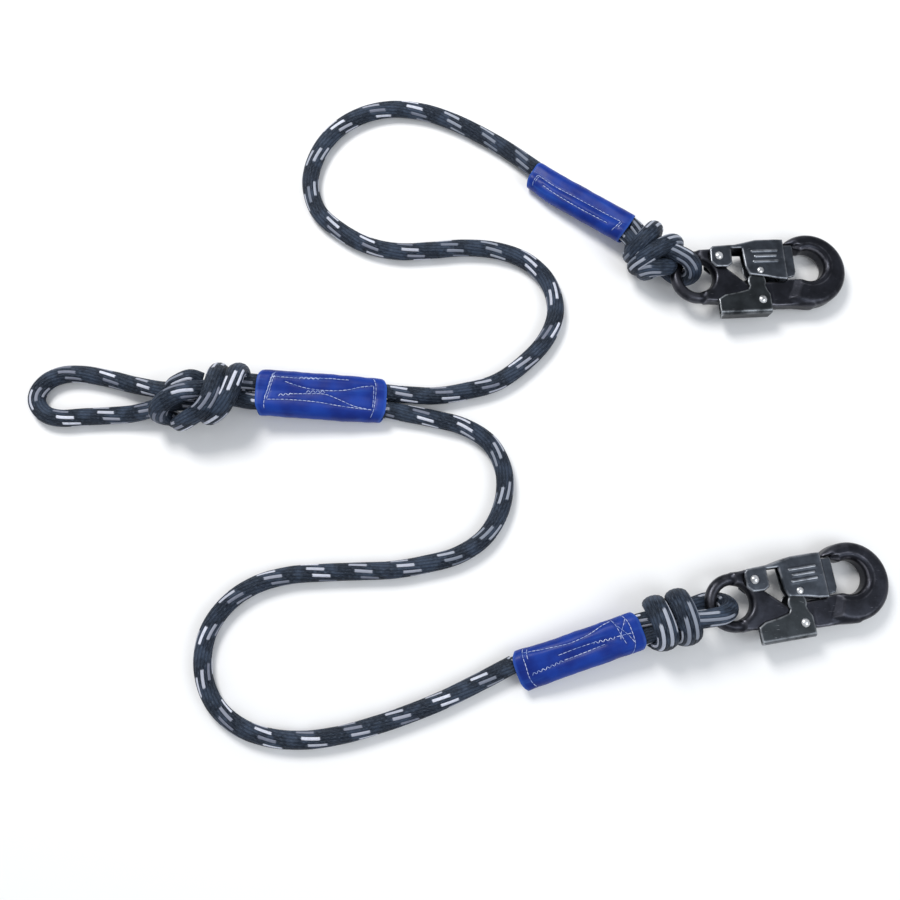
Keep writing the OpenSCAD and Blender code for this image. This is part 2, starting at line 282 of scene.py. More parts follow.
def sleeve_material():
    g = Graph("vinyl_sleeve")
    x, y = g.uv("sleeve")
    warp = g.math("SINE", g.times(x, WEAVE_TURN))
    weft = g.math("SINE", g.times(y, WEAVE_TURN))
    weave = g.times_plus(warp, weft, g.times(warp, 0.4))
    soft = g.noise(g.place(), 55.0)
    streak = g.noise(g.vector(g.times(x, 18.0), g.times(y, 190.0)), 1.0, 4.0, 0.6)
    grime = g.noise(g.place(), 420.0, 5.0, 0.7)
    base = g.mix(g.ramp(soft, 0.3, 0.72), (0.001, 0.015, 0.17), (0.002, 0.034, 0.28))
    base = g.mix(g.ramp(streak, 0.5, 0.8, 0.0, 0.4), base, (0.035, 0.13, 0.46))
    base = g.mix(g.ramp(grime, 0.62, 0.8, 0.0, 0.35), base, (0.004, 0.012, 0.08))
    # painted shade: the vinyl is darkened along the creases that the seams pull in
    base = g.mix(g.times(g.attribute("seam_shade"), 0.55), base, (0.004, 0.014, 0.13))
    base = g.mix(g.times(g.attribute("hem"), 0.35), base, (0.06, 0.17, 0.62))
    normal = g.bump(weave, 0.22, 0.00012)
    normal = g.bump(streak, 0.45, 0.0007, normal)
    g.shader(base, g.ramp(soft, 0.3, 0.7, 0.36, 0.5), normal=normal, Coat_Weight=0.04,
             Coat_Roughness=0.22, Specular_IOR_Level=0.2)
    return g.material


def thread_material():
    g = Graph("sewing_thread")
    at = g.place()
    twist = g.noise(at, 2600.0, 2.0)
    dirt = g.noise(at, 160.0)
    base = g.mix(g.ramp(dirt, 0.3, 0.7), (0.6, 0.68, 0.92), (0.13, 0.22, 0.55))
    normal = g.bump(twist, 0.5, 0.0002)
    g.shader(base, 0.6, normal=normal, Sheen_Weight=0.25)
    return g.material


def steel_material(name, dark, bright, rough, edge, grain=(1, 1, 1), pits=0.25):
    """Blackened steel that is worn bright along its edges, as much as edge says."""
    g = Graph(name)
    at = g.place()
    cloud = g.noise(at, 90.0, 4.0, 0.6)
    fine = g.noise(g.stretched(at, grain), 900.0, 4.0, 0.6)
    scratch = g.noise(g.stretched(at, (60, 1500, 1500), (0.3, 0.2, 0.5)), 1.0, 2.0)
    wear = g.times(g.attribute("wear"), edge)
    wear = g.times(wear, g.ramp(cloud, 0.3, 0.62))
    wear = g.math("MAXIMUM", wear, g.ramp(scratch, 0.7, 0.78, 0.0, 0.35))
    lighter = tuple(min(1, c * 1.9) for c in dark)
    base = g.mix(g.ramp(cloud, 0.3, 0.75), dark, lighter)
    base = g.mix(g.ramp(fine, 0.55, 0.85, 0.0, 0.5), base, lighter)
    base = g.mix(wear, base, bright)
    roughness = g.times_plus(cloud, 0.22, rough - 0.11)
    roughness = g.times_plus(wear, -0.1, roughness)
    normal = g.bump(fine, pits, 0.00025)
    g.shader(base, roughness, 0.9, normal)
    return g.material


def bright_material(name, colour, rough):
    """Turned or drawn steel with fine marks."""
    g = Graph(name)
    at = g.place()
    marks = g.noise(at, 1500.0, 3.0, 0.7)
    stain = g.noise(at, 260.0)
    base = g.mix(g.ramp(stain, 0.45, 0.75), colour, tuple(c * 0.45 for c in colour))
    g.shader(base, g.times_plus(marks, 0.2, rough - 0.1), 1.0, g.bump(marks, 0.2, 0.0001))
    return g.material


# ---- frames of the CAD parts

def turned(place_mm, heading, slope):
    """Frame at a place, its X axis at a heading and tilted up by slope, in degrees."""
    return (Matrix.Translation(Vector(place_mm) * MM)
            @ Matrix.Rotation(math.radians(heading), 4, "Z")
            @ Matrix.Rotation(math.radians(-slope), 4, "Y"))


RING_Z = 19.5
RING_R = 16.75
BOW_FOOT = 114.0
BOW_HALF = 8.0
# A hook leans on its bow, with its ring held up by the rope
HOOK_TILT = math.degrees(math.asin(RING_Z / math.hypot(BOW_FOOT, BOW_HALF))
                         - math.atan2(BOW_HALF, BOW_FOOT))
RING_XY = {"a": (188.3, 103.4), "b": (201.3, -142.6)}
HOOK_HEADING = {"a": 4.5, "b": 9.5}
ROPE_HEADING = {"a": -32, "b": 15}
KNOT_GAP = {"a": 4.8, "b": 8.5}
EYE_SIDE = {"a": 2.5, "b": -6}
EYE_BEND = 12
STRAND_SIDE = {"a": 5.2, "b": 5.9}
FORK_SIDE = 6.6
KNOT_R = 21
WRAP_PITCH = 12.3
KNOT_HALF = 1.5 * WRAP_PITCH
SLEEVE_LENGTH = {"centre": 97, "a": 89, "b": 94}
SLEEVE_FRAME = {
    "centre": turned((-48.5, 8.7, 8), 177.3, 6.3),
    "a": turned((64.6, 193.2, 8), -34.5, 6.3),
    "b": turned((47.4, -191.3, 8), 19, 6.3),
}
WAIST_KNOT_FRAME = turned((-187.5, 9.5, 23), 3, 0)


def hook_frame(which):
    return turned((*RING_XY[which], RING_Z), HOOK_HEADING[which], -HOOK_TILT)


def knot_frame(which):
    """Origin in the middle of a hook's knot, X towards the hook."""
    away = Matrix.Rotation(math.radians(ROPE_HEADING[which]), 4, "Z")
    back = away @ Vector((RING_R + KNOT_GAP[which] + KNOT_HALF, 0, 0))
    middle = Vector((*RING_XY[which], KNOT_R)) - back
    return turned(middle, ROPE_HEADING[which], 0)


def eye_frame(which):
    """Origin in the middle of the ring's bar where the rope passes round it."""
    turn = math.radians(ROPE_HEADING[which] - HOOK_HEADING[which])
    return (hook_frame(which) @ Matrix.Rotation(turn, 4, "Z")
            @ Matrix.Translation(Vector((-RING_R * MM, 0, 0))))


def places(matrix, points_mm):
    """Points given in millimetres in a frame, as metres in the shared frame."""
    return [matrix @ (Vector(p) * MM) for p in points_mm]


# ---- curves and meshes

def smooth_path(points, step):
    """A Catmull-Rom curve through the points, resampled at an even step."""
    p = np.array([tuple(v) for v in points], float)
    p = np.vstack([2 * p[0] - p[1], p, 2 * p[-1] - p[-2]])
    t = np.linspace(0, 1, 24, endpoint=False)[:, None]
    pieces = []
    for a, b, c, d in zip(p[:-3], p[1:-2], p[2:-1], p[3:]):
        pieces.append(0.5 * (2 * b + (c - a) * t + (2 * a - 5 * b + 4 * c - d) * t ** 2
                             + (3 * b - 3 * c + d - a) * t ** 3))
    fine = np.vstack(pieces + [p[-2:-1]])
    at = distance_along(fine)
    count = max(2, int(round(at[-1] / step)) + 1)
    wanted = np.linspace(0, at[-1], count)
    return np.stack([np.interp(wanted, at, fine[:, k]) for k in range(3)], axis=1)


def distance_along(line):
    return np.concatenate([[0], np.cumsum(np.linalg.norm(np.diff(line, axis=0), axis=1))])


def frames_along(line):
    """Tangents and two normals along a line, turned as little as possible."""
    tangents = np.gradient(line, axis=0)
    tangents /= np.linalg.norm(tangents, axis=1)[:, None]
    side = np.cross((0, 0, 1), tangents[0])
    if np.linalg.norm(side) < 1e-6:
        side = np.cross((1, 0, 0), tangents[0])
    sides = []
    for tangent in tangents:
        side = side - tangent * side.dot(tangent)
        side = side / np.linalg.norm(side)
        sides.append(side)
    sides = np.array(sides)
    return tangents, sides, np.cross(tangents, sides)


def mesh_piece(name, points, faces, body, material, node=None):
    mesh = bpy.data.meshes.new(name)
    mesh.from_pydata([tuple(p) for p in points], [], [tuple(map(int, f)) for f in faces])
    mesh.validate()
    mesh.polygons.foreach_set("use_smooth", [True] * len(mesh.polygons))
    mesh.materials.append(material)
    return add_piece(name, mesh, body, node)


def tube_faces(rings, sides):
    """The wall of a tube, ring by ring, and then its two ends."""
    faces = []
    for i in range(rings - 1):
        for k in range(sides):
            n = (k + 1) % sides
            a, b = i * sides, (i + 1) * sides
            faces.append((a + k, a + n, b + n, b + k))
    faces.append(tuple(range(sides - 1, -1, -1)))
    faces.append(tuple(range((rings - 1) * sides, rings * sides)))
    return faces


# Corners of a wall face as steps to the next ring and the next side, seen from outside
WALL_CORNERS = [(0, 0), (0, 1), (1, 1), (1, 0)]


def wall_uv(at_ring, sides, span, corners):
    """UVs of a tube's wall: at_ring gives each ring's place, span is the way round."""
    ring = np.repeat(np.arange(len(at_ring) - 1), sides)
    side = np.tile(np.arange(sides), len(at_ring) - 1)
    uv = np.zeros((len(ring), 4, 2))
    for corner, (ring_on, side_on) in enumerate(corners):
        uv[:, corner, 0] = at_ring[ring + ring_on]
        uv[:, corner, 1] = (side + side_on) / sides * span
    return uv.reshape(-1, 2)


def offsets_round(angle, u, v):
    return np.cos(angle)[..., None] * u[:, None] + np.sin(angle)[..., None] * v[:, None]


def append_shape(points, faces, more_points, more_faces):
    first = len(points)
    points.extend(more_points)
    faces.extend(tuple(first + corner for corner in face) for face in more_faces)


def plain_tube(line, radii, sides):
    """Points and faces of a tube with a radius at each point of its line."""
    _, u, v = frames_along(line)
    angle = np.linspace(0, 2 * np.pi, sides, endpoint=False)[None]
    points = line[:, None] + np.asarray(radii)[:, None, None] * offsets_round(angle, u, v)
    return points.reshape(-1, 3), tube_faces(len(line), sides)


# ---- rope

SHEATH_SIDES = 48
RING_STEP = 1.75 * MM
GROOVE = 0.2 * MM
TURN_LENGTH = 420 * MM
# The rope is pulled long where it bears on a ring and in the knot of two broad turns,
# where its pale dashes line up from turn to turn
EYE_PATTERN = 60 * MM
KNOT_B_PATTERN = 62 * MM


def sheath_height(along, around):
    """Height of the sheath from 0 in a groove to 1 on a float."""
    rows = around * SHEATH_ROWS
    across = rows % 1
    run = (along * FLOATS + np.floor(rows + 1e-6) * ROW_STEP) % 1
    bulge = np.sqrt(np.sin(np.pi * across).clip(0))
    ends = np.clip(np.minimum(run, 1 - run) / 0.12, 0, 1)
    return bulge * (0.6 + 0.4 * ends)


def pressed(line, tangents, out, knot, flat):
    """Offsets of the surface pressed flat towards a knot's axis where the line is well
    away from it. knot is the knot's frame and flat how much wider the rope becomes."""
    axis = np.array(knot.to_3x3().col[0])
    away = line - np.array(knot.translation)
    away -= away @ axis[:, None] * axis
    reach = np.linalg.norm(away, axis=1)
    away /= np.maximum(reach, 1e-6)[:, None]
    away -= np.sum(away * tangents, axis=1)[:, None] * tangents
    away /= np.maximum(np.linalg.norm(away, axis=1), 1e-6)[:, None]
    beside = np.cross(tangents, away)
    much = np.clip((reach / MM - 6) / 5, 0, 1) * flat
    high = np.einsum("rsk,rk->rs", out, away) * much[:, None]
    wide = np.einsum("rsk,rk->rs", out, beside) * much[:, None]
    return out - high[..., None] * away[:, None] + wide[..., None] * beside[:, None]


def braided_rope(name, node, points, start=0.0, turn=0.0, radius=ROPE_R, knot=None,
                 flat=0.0, pattern=PATTERN):
    """A length of rope along the points. start shifts its pattern, turn rolls it. In a
    knot it is pressed flat."""
    line = smooth_path(points, RING_STEP)
    tangents, u, v = frames_along(line)
    distance = distance_along(line)
    around = np.arange(SHEATH_SIDES) / SHEATH_SIDES
    along = distance / pattern + start
    angle = 2 * np.pi * (around[None] + turn + distance[:, None] / TURN_LENGTH)
    height = sheath_height(along[:, None], np.tile(around, (len(line), 1)))
    r = radius + GROOVE * (height - 0.75)
    out = offsets_round(angle, u, v)
    if knot is not None:
        out = pressed(line, tangents, out, knot, flat)
    surface = line[:, None] + r[..., None] * out
    faces = tube_faces(len(line), SHEATH_SIDES)
    rope = mesh_piece(name, surface.reshape(-1, 3), faces, "root", ROPE, node)
    # the two ends lie on a row that has no pale dashes
    ends = np.zeros((2 * SHEATH_SIDES, 2))
    ends[:, 1] = 1.5 / SHEATH_ROWS
    wall = wall_uv(along, SHEATH_SIDES, 1, WALL_CORNERS)
    write_uv(rope.data, "rope", np.vstack([wall, ends]))
    return rope, line


# Routes of the free legs in metres, as the CAD model lays them. A point without a height
# lies on the floor.
LEG_A_ROUTE = [
    (-0.0482, 0.0153, 0.008), (-0.030, 0.014, 0.0066), (-0.010, 0.0135), (0.011, 0.017),
    (0.035, 0.024), (0.056, 0.039), (0.073, 0.058), (0.081, 0.080), (0.076, 0.104),
    (0.059, 0.122), (0.035, 0.131), (0.010, 0.133), (-0.015, 0.131), (-0.040, 0.130),
    (-0.064, 0.135), (-0.086, 0.147), (-0.104, 0.164), (-0.111, 0.188), (-0.106, 0.212),
    (-0.092, 0.233), (-0.071, 0.247), (-0.047, 0.2525), (-0.022, 0.250), (0.001, 0.242),
    (0.024, 0.230), (0.046, 0.216, 0.0066), (0.068, 0.1988, 0.008),
]
LEG_B_ROUTE = [
    (-0.0482, 0.0021, 0.008), (-0.030, -0.001, 0.0066), (-0.010, -0.005), (0.011, -0.011),
    (0.030, -0.024), (0.040, -0.046), (0.038, -0.071), (0.026, -0.093), (0.006, -0.107),
    (-0.019, -0.114), (-0.043, -0.118), (-0.068, -0.119), (-0.093, -0.120), (-0.118, -0.122),
    (-0.142, -0.129), (-0.162, -0.143), (-0.175, -0.164), (-0.177, -0.189), (-0.168, -0.212),
    (-0.150, -0.228), (-0.127, -0.236), (-0.102, -0.2375), (-0.077, -0.234), (-0.053, -0.2275),
    (-0.029, -0.2195), (-0.005, -0.210), (0.020, -0.198, 0.0066), (0.045, -0.1852, 0.008),
]


def laid(route):
    return [(x, y, height[0] if height else ROPE_R) for x, y, *height in route]


def make_leg(which, route, turn):
    braided_rope("rope_leg_" + which, "leg_rope_" + which, laid(route), turn=turn)


def make_fork():
    """The two strands through the centre sleeve into the waist knot."""
    for side, name, node in [(-1, "rope_fork_a", None), (1, "rope_fork_b", "fork_strands")]:
        points = places(SLEEVE_FRAME["centre"], [
            (-1, side * FORK_SIDE, 0), (30, side * FORK_SIDE, 0), (60, side * FORK_SIDE, 0),
            (92, side * 7, 0), (102, side * 7, 0.5), (112, side * 6, 1), (122, side * 5, 1)])
        braided_rope(name, node, points, start=0.3, turn=0.2 * side)


def make_strands(which):
    """The standing strand and the tail from the sleeve into the hook's knot."""
    end = SLEEVE_LENGTH[which]
    into = knot_frame(which)
    y = STRAND_SIDE[which]
    for side, first, kind in [(1, -1, "standing_strand_"), (-1, 20, "tail_strand_")]:
        points = places(SLEEVE_FRAME[which], [
            (first, side * y, 0), (end / 2, side * y, 0), (end - 12, side * y, 0),
            (end + 1, side * (y - 0.4), 0)])
        points += places(into, [(-8, side * 4.6, 2), (4, side * 4, 3)])
        braided_rope("rope_" + kind + which, kind + which, points, start=0.4 * side,
                     turn=0.1 * side, radius=5.9 * MM)


def make_eye(which):
    """The rope over the ring's bar, through the ring and back under the bar."""
    side = EYE_SIDE[which]
    bend = [(EYE_BEND * math.cos(a), side * math.sin(a), EYE_BEND * math.sin(a))
            for a in np.radians(np.arange(90, -91, -15))]
    reach = KNOT_GAP[which]
    route = [(-reach - 12, side * 0.5, 7), (-reach - 4, side * 0.8, 10.5)] + bend + [
        (-reach - 4, -side * 0.8, -10.5), (-reach - 12, -side * 0.5, -7)]
    start, turn = {"a": (0.85, 0.35), "b": (0.1, 0.1)}[which]
    braided_rope("rope_eye_" + which, "eye_rope_" + which, places(eye_frame(which), route),
                 start=start, turn=turn, pattern=EYE_PATTERN)


# Knots, each one strand in its own frame in millimetres: X along the knot, Z up
KNOT_A_STRAND = [
    (-17, 3, -2), (-12, -6, -9), (-11.5, -11, -2), (-10.5, -9.5, 7), (-9, -2, 12.5),
    (-7.5, 7, 12), (-7, 13.5, 6), (-6.5, 15, -2), (-5, 10, -10), (-3, 0, -13.5),
    (-2.5, -10, -12), (-4, -16.5, -4), (-3.5, -16, 4), (0, -10.5, 11.5), (4.5, -1.5, 14.5),
    (9, 7.5, 11.5), (12, 12.5, 4.5), (12.5, 11.5, -4), (11, 4, -12), (8, -6, -13),
    (4, -14.5, -8), (3, -17.5, 0), (7, -15.5, 7), (13, -11.5, 8), (17, -6, 4), (14, -1, 0),
    (6, 2, -2),
]
WAIST_STRAND = [
    (30, -3, -4), (33, 8, -9), (32, 15, -6), (32, 16.5, 2), (31, 12.5, 11), (29.5, 4, 16),
    (26, -6, 16), (19, -14, 10.5), (10, -17.5, 2), (7, -13, -9), (10, -3, -15),
    (14, 9, -13.5), (16.5, 16, -6), (17, 17.5, 2), (17, 12.5, 11), (16, 4, 16.5),
    (13, -6, 16.5), (6.5, -14, 12.5), (-3, -18.5, 7.5), (-11.5, -20.5, 0), (-15, -17.5, -8),
    (-21, -14, -10), (-27, -13.5, -5), (-28, -12.5, 2), (-25, -9, 8.5),
    (-18, -4.5, 12.5), (-9, -1, 14), (1, 1, 11.5), (10, 3, 6), (20, 3, 1), (30, 3, 0),
]


def helix_knot(turns, pitch, radius, growth):
    """A strand wound in turns that touch. They lie square to the knot on top and advance
    underneath, and the two ends turn in towards the core."""
    points = []
    steps = 14
    total = int(turns * steps)
    for i in range(total + 1):
        angle = -2 * math.pi * (i / steps + 0.1)
        share = i / total
        into = min(1, min(share, 1 - share) * total / (0.3 * steps))
        r = (radius + growth * share) * (0.35 + 0.65 * math.sin(into * math.pi / 2))
        x = (share - 0.5) * turns * pitch - pitch / 4 * math.cos(angle)
        points.append((x, r * math.cos(angle), r * math.sin(angle)))
    return points


def make_knots():
    at = knot_frame("a")
    braided_rope("rope_knot_a", "hook_knot_a", places(at, KNOT_A_STRAND), start=0.1,
                 turn=0.05, knot=at, flat=0.04)
    at = knot_frame("b") @ Matrix.Translation(Vector((-4.5, 0, 0)) * MM)
    broad = helix_knot(turns=2.2, pitch=16.5, radius=14.6, growth=1.8)
    braided_rope("rope_knot_b", "hook_knot_b", places(at, broad), start=0.72, turn=0.3,
                 knot=at, flat=0.25, pattern=KNOT_B_PATTERN)
    at = WAIST_KNOT_FRAME
    braided_rope("rope_waist_knot", "waist_knot", places(at, WAIST_STRAND), start=0.2,
                 turn=0.15, knot=at, flat=0.08)


def make_waist_loop():
    into = places(WAIST_KNOT_FRAME, [(4, 10, 2), (-4, 12, 5), (-14, 8.5, 4), (-23, 5.5, -2)])
    route = laid([
        (-0.238, 0.021, 0.009), (-0.256, 0.026, 0.0067), (-0.276, 0.030), (-0.293, 0.030),
        (-0.305, 0.025), (-0.312, 0.016), (-0.312, 0.007), (-0.305, -0.001), (-0.293, -0.004),
        (-0.276, -0.003), (-0.256, -0.002, 0.0067), (-0.238, -0.001, 0.009),
    ])
    out = places(WAIST_KNOT_FRAME, [(-32, -6, -7), (-22, -4, -3), (-10, -4, -2), (4, -5, -2)])
    braided_rope("rope_waist_loop", "waist_loop", into + route + out,
                               start=0.6, turn=0.4)


# ---- sleeves and stitching

SLEEVE_HALF_HEIGHT = 8.0
WALL = 1.1
MOUTH_LENGTH = 26.0
HEM = 2.4
SEAM_DEPTH = 0.42
SLEEVE_RINGS = 116
SLEEVE_SIDES = 96


@dataclass
class Sleeve:
    """The shape of one sleeve in its own frame, in millimetres. Its mouth is the end
    towards the free leg. corner is how far its corners are drawn in, flat_side how flat
    the mouth's empty side is pressed, and seed shifts the wrinkles."""

    length: float
    half_width: float
    corner: float
    mouth_half: float
    mouth_shift: float
    flat_side: float
    seed: float

    def opened(self, x):
        """0 at the mouth, 1 where the sleeve has its full width."""
        t = np.clip(x / MOUTH_LENGTH, 0, 1)
        return t * t * (3 - 2 * t)

    def width(self, x):
        return self.mouth_half + (self.half_width - self.mouth_half) * self.opened(x)

    def shift(self, x):
        return self.mouth_shift * (1 - self.opened(x))

    def surface(self, x, t):
        """A point of the outside at x along the sleeve and t round it in turns."""
        h = SLEEVE_HALF_HEIGHT
        straight = self.width(x) - h
        half = 2 * straight + np.pi * h
        d = (t % 1) * 2 * half
        side = np.where(d < half, 1.0, -1.0)
        d = d % half
        turn = np.clip((d - straight) / h, 0, np.pi)
        y = np.minimum(d, straight) + h * np.sin(turn)
        y -= np.maximum(d - straight - np.pi * h, 0)
        return self.shaped(x, side * y, side * h * np.cos(turn))

    def top(self, x, y):
        """The height of the outside above a place in the sleeve's frame."""
        w, h = self.width(x), SLEEVE_HALF_HEIGHT
        past = np.clip(abs(y) - (w - h), 0, h)
        return np.sqrt(np.clip(h * h - past * past, 0, None))

    def shaped(self, x, y, z):
        """Sags the top between the strands and wrinkles the vinyl."""
        w = self.width(x)
        q = y / w
        upper = (z > 0) * np.clip(z / SLEEVE_HALF_HEIGHT, 0, 1)
        sag = 0.9 * np.exp(-(y / 3.6) ** 2) * (0.55 + 0.45 * np.sin(x / 11 + self.seed))
        wrinkle = (0.16 * np.sin(x / 4.3 + 3.1 * q + self.seed)
                   * np.sin(2.2 * q + self.seed * 2 + x / 17))
        wrinkle += 0.1 * np.sin(x / 2.1 - 4 * q + 2 * self.seed) * np.sin(x / 9 + self.seed)
        mouth = 1 - self.opened(x)
        flat = self.flat_side * mouth * np.clip(-q, 0, 1) ** 0.7
        z = z - upper * (sag + 3.6 * flat)
        scale = 1 + wrinkle / 14
        shortened = self.corner * np.abs(q) ** 4
        end = np.clip((x - self.length / 2) / (self.length / 2), -1, 1)
        x = x - end * shortened
        return x, y * scale + self.shift(x), z * scale


SLEEVES = {
    "centre": Sleeve(SLEEVE_LENGTH["centre"], 17.6, 4.5, 16.9, 0.0, 0.0, 0.4),
    "a": Sleeve(SLEEVE_LENGTH["a"], 12.3, 1.5, 11.3, 1.6, 0.4, 1.7),
    "b": Sleeve(SLEEVE_LENGTH["b"], 13.9, 3.6, 14.7, 0.3, 1.0, 3.1),
}

# Seams of each sleeve as points (x, y) in its frame, in millimetres
SEAMS = {
    "centre": {
        "run": [
            [(8.5, -15), (8.2, -5), (8.6, 5), (9.2, 15)], [(10, -9), (9.8, 0), (10, 8)],
            [(85, -15), (87, -5), (89.5, 5), (91, 14)], [(86, -14), (87.6, -4), (90, 6)],
            [(84.4, -12), (86.2, -3), (88.4, 7)],
            [(86, -10.5), (66, -11), (48, -12), (28, -12.5)],
            [(88, 7), (70, 6), (50, 6.5), (30, 8.5), (10, 9.5)],
            [(76, -7.5), (62, -4), (48, -2.8), (32, -4), (20, -7.5), (10, -9)],
            [(72, 1.5), (58, 0.5), (46, 0), (36, 3), (24, 7.5), (14, 9)],
        ],
        "zigzag": [[(80, 3), (71, 1.5)], [(60, -1), (46, -2)], [(66, -11), (50, -12)]],
    },
    "a": {
        "run": [
            [(6, -1.5), (5.4, -6), (5.6, -10)], [(7.5, -2), (7, -7)],
            [(6, -1.6), (24, -2), (45, -1.5), (64, -1), (82, -0.6)],
            [(82, -0.4), (81.4, -5), (80, -10)], [(83.4, -1), (82.8, -6)],
            [(14, -6.4), (34, -7.4), (54, -7.6), (74, -7)],
        ],
        "zigzag": [],
    },
    "b": {
        "run": [
            [(7, 14), (8, 4), (7.5, -5), (8, -14)], [(10.5, 13), (10.8, 6)],
            [(86, 14), (86.5, 3), (86, -8), (84, -14)],
            [(8, 11.5), (24, 9.5), (42, 7.5), (56, 8.5), (66, 11), (76, 12.5)],
            [(32, 2.2), (46, 2.6), (60, 2.4)], [(35, -2.4), (50, -2), (66, -1.2)],
            [(77, 13), (78, 4), (80, -6)], [(86, 11), (80, 4), (77, -2)],
            [(78, 8), (83, 0), (86, -7)], [(75, 1), (86, 0)],
        ],
        "zigzag": [[(10, -4.5), (34, -2.5)], [(58, 2.2), (74, 0.5)]],
    },
}
STITCH_PITCH = 3.3
STITCH_LENGTH = 3.0
STITCH_RISE = 0.42
STITCH_SINK = 0.4
ZIGZAG_PITCH = 1.7
ZIGZAG_HALF = 1.0
THREAD_R = 0.26


def flat_path(points, step):
    line = smooth_path([(x, y, 0) for x, y in points], step)
    return line[:, :2]


def crease_depth(x, y, seams):
    """How strongly each point lies under a seam, from 0 to 1."""
    pull = np.zeros_like(x)
    for points in seams:
        for px, py in flat_path(points, 1.6):
            near = np.exp(-((x - px) ** 2 + (y - py) ** 2) / 1.1)
            pull = np.maximum(pull, near)
    return pull


def make_sleeve(key):
    sleeve = SLEEVES[key]
    rings, sides = SLEEVE_RINGS, SLEEVE_SIDES
    s = np.linspace(0, sleeve.length, rings)[:, None] * np.ones((1, sides))
    t = np.ones((rings, 1)) * (np.arange(sides) / sides)[None]
    x, y, z = sleeve.surface(s, t)
    seams = SEAMS[key]["run"] + SEAMS[key]["zigzag"]
    pull = crease_depth(s, y - sleeve.shift(s), seams) * (z > 0)
    end = np.minimum(s, sleeve.length - s)
    hem = np.clip(1 - end / HEM, 0, 1)
    z = z - SEAM_DEPTH * pull - 0.5 * hem ** 2 * np.sign(z)
    points = places(SLEEVE_FRAME[key], np.stack([x, y, z], axis=2).reshape(-1, 3))
    faces = [face[::-1] for face in tube_faces(rings, sides)[:-2]]
    vinyl = mesh_piece("vinyl_" + key, points, faces, "root", VINYL,
                       "sleeve_" + key)
    along = np.arange(rings) / (rings - 1) * sleeve.length * MM
    uv = wall_uv(along, sides, 4 * sleeve.half_width * MM, WALL_CORNERS[::-1])
    write_uv(vinyl.data, "sleeve", uv)
    # painted shade: the dents along the seams are stored here to darken the vinyl's colour
    write_attribute(vinyl.data, "seam_shade", pull)
    write_attribute(vinyl.data, "hem", hem)
    add_modifier(vinyl, "thickness", "SOLIDIFY", thickness=WALL * MM, offset=-1)
    add_modifier(vinyl, "round_edge", "BEVEL", width=0.35 * MM, segments=2,
                 limit_method="ANGLE", angle_limit=math.radians(50))
    make_stitching(key)


def stitch(points, faces, sleeve, from_xy, to_xy):
    """Adds one stitch of thread, which rises from the vinyl and goes back into it."""
    a, b = np.array(from_xy), np.array(to_xy)
    share = np.linspace(0, 1, 7)
    x, y = (a + (b - a) * share[:, None]).T
    x, y, z = sleeve.shaped(x, y, sleeve.top(x, y))
    line = np.stack([x, y, z + STITCH_RISE * np.sin(np.pi * share) - STITCH_SINK], axis=1)
    radii = THREAD_R * np.sqrt(np.clip(np.sin(np.pi * (0.06 + 0.88 * share)), 0.1, 1))
    append_shape(points, faces, *plain_tube(line, radii, 6))


def make_stitching(key):
    sleeve = SLEEVES[key]
    points, faces = [], []
    for seam in SEAMS[key]["run"]:
        line = flat_path(seam, STITCH_PITCH)
        for a, b in zip(line[:-1], line[1:]):
            stitch(points, faces, sleeve, a, a + (b - a) * STITCH_LENGTH / STITCH_PITCH)
    for seam in SEAMS[key]["zigzag"]:
        line = flat_path(seam, ZIGZAG_PITCH)
        for i, (a, b) in enumerate(zip(line[:-1], line[1:])):
            run = (b - a) / np.linalg.norm(b - a)
            across = np.array([-run[1], run[0]]) * (ZIGZAG_HALF if i % 2 else -ZIGZAG_HALF)
            stitch(points, faces, sleeve, a + across, b - across)
    placed = places(SLEEVE_FRAME[key], points)
    return mesh_piece("thread_" + key, placed, faces, "root", THREAD,
                      "stitching_" + key)


# ---- solid shapes by distance

def polygon_distance(x, y, corners):
    """Distance to a polygon, negative inside."""
    best = np.full(x.shape, 1e9)
    inside = np.zeros(x.shape, bool)
    last = corners[-1]
    for ax, ay in corners:
        bx, by = last
        last = (ax, ay)
        ex, ey = bx - ax, by - ay
        wx, wy = x - ax, y - ay
        along = np.clip((wx * ex + wy * ey) / (ex * ex + ey * ey), 0, 1)
        best = np.minimum(best, (wx - ex * along) ** 2 + (wy - ey * along) ** 2)
        crosses = (ay > y) != (by > y)
        slope = np.where(crosses, (bx - ax) * (y - ay) / np.where(by == ay, 1, by - ay) + ax, 0)
        inside ^= crosses & (x < slope)
    return np.where(inside, -1, 1) * np.sqrt(best)


def circle_distance(x, y, centre, radius):
    return np.hypot(x - centre[0], y - centre[1]) - radius


def plate(flat, z, half, rounding):
    """An outline's distance made into a plate of that half thickness, edges rounded."""
    a = flat + rounding
    b = np.abs(z) - half + rounding
    return (np.minimum(np.maximum(a, b), 0)
            + np.hypot(np.maximum(a, 0), np.maximum(b, 0)) - rounding)


def blend(a, b, k):
    """Union of two solids with a fillet of about k."""
    h = np.clip(0.5 + 0.5 * (b - a) / k, 0, 1)
    return b + (a - b) * h - k * h * (1 - h)


def carve(a, b, k):
    """Solid a less solid b, with a rounded edge of about k."""
    return -blend(-a, b, k)


CORNERS = np.argwhere(np.ones((2, 2, 2)))


def block(grid, start, size):
    return grid[tuple(slice(a, a + n) for a, n in zip(start, size))]


